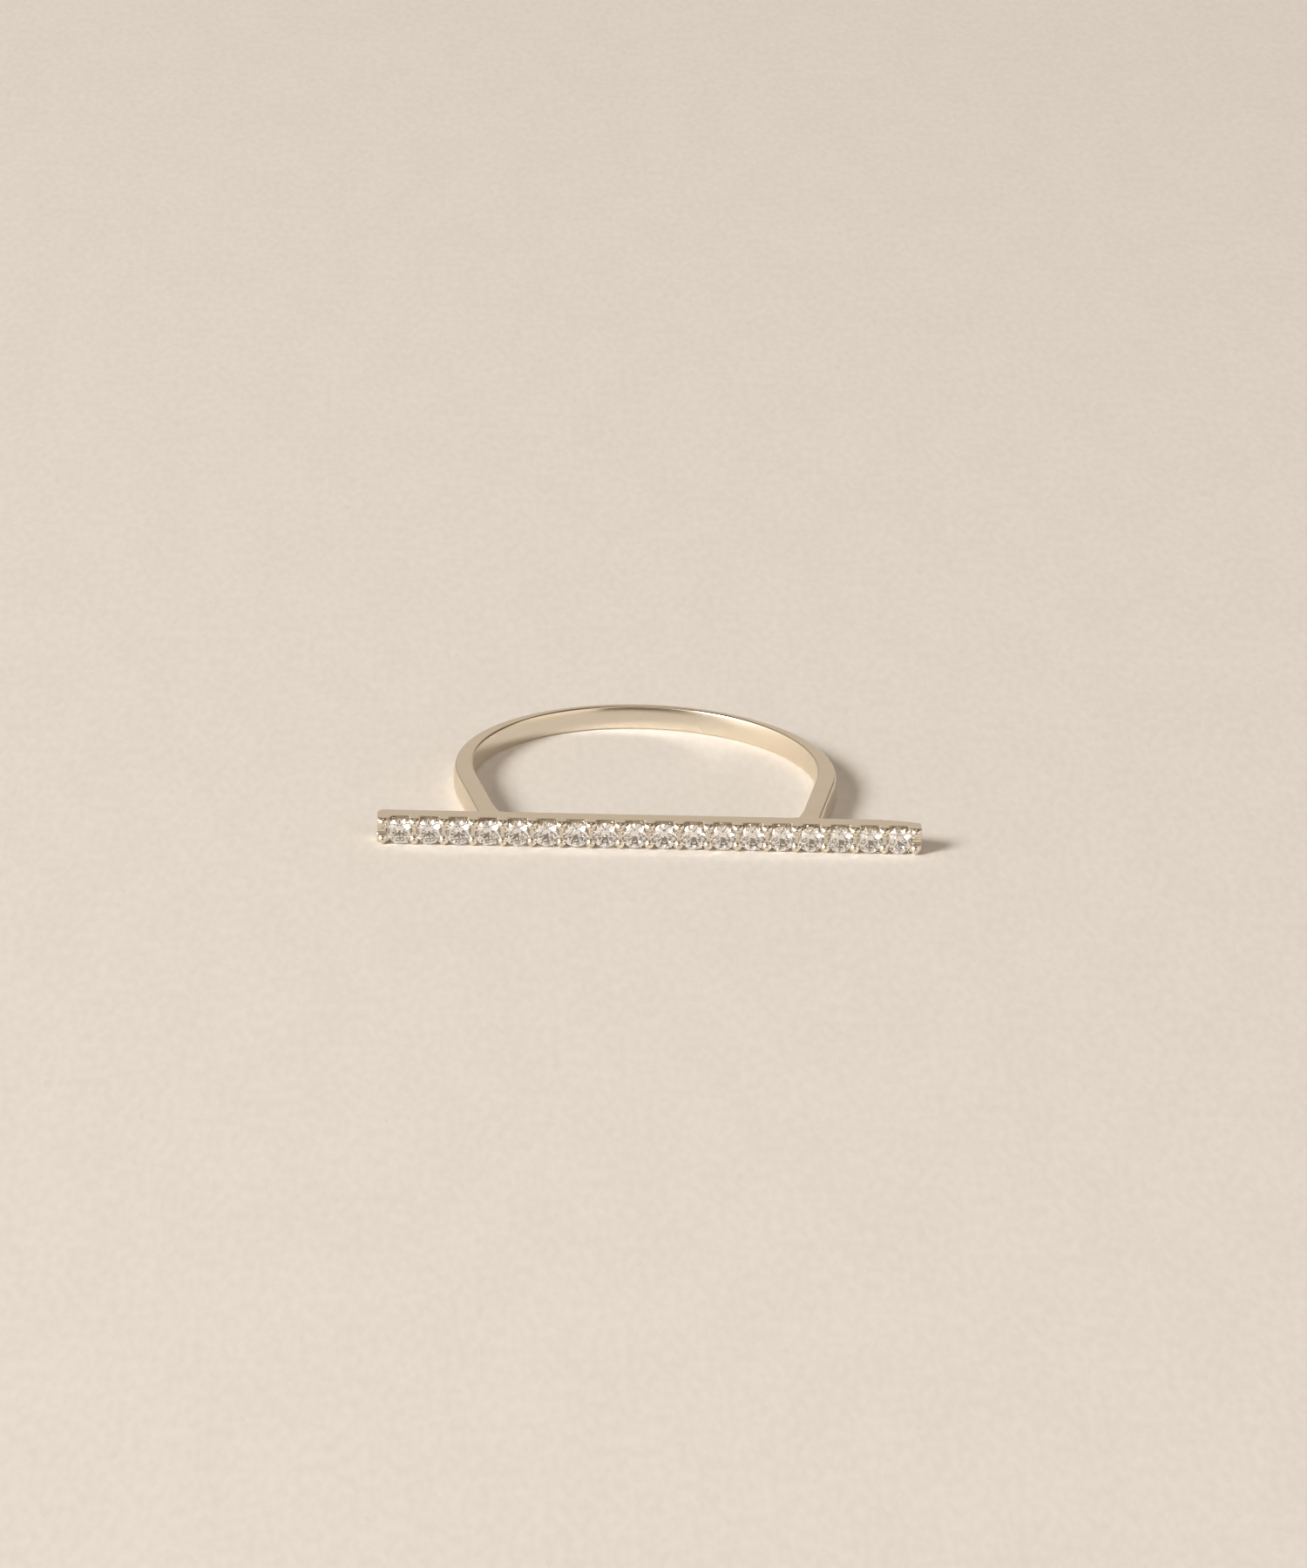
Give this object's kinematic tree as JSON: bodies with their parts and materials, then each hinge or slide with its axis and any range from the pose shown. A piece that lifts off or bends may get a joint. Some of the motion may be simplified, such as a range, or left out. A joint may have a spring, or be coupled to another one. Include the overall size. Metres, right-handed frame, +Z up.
{
  "type": "bar ring",
  "caption": "Slim finger ring: a thin D-shaped band soldered behind a straight bar that is prong-set with a row of small round stones.",
  "frame": {"origin": "under the middle of the ring's box, on the surface that it rests on when it lies on its side", "axes": "+Z up, along the finger's axis; +X along the bar, to the right as seen from the stones' side; the stones face -Y"},
  "size_m": [0.0258, 0.0172, 0.0013],
  "materials": {
    "metal": "polished pale champagne gold plate",
    "stone": "clear, faceted and polished"
  },
  "bodies": {
    "root": {"ring_metal": "metal", "stone_01": "stone", "stone_02": "stone", "stone_03": "stone", "stone_04": "stone", "stone_05": "stone", "stone_06": "stone", "stone_07": "stone", "stone_08": "stone", "stone_09": "stone", "stone_10": "stone", "stone_11": "stone", "stone_12": "stone", "stone_13": "stone", "stone_14": "stone", "stone_15": "stone", "stone_16": "stone", "stone_17": "stone", "stone_18": "stone"}
  },
  "joints": []
}
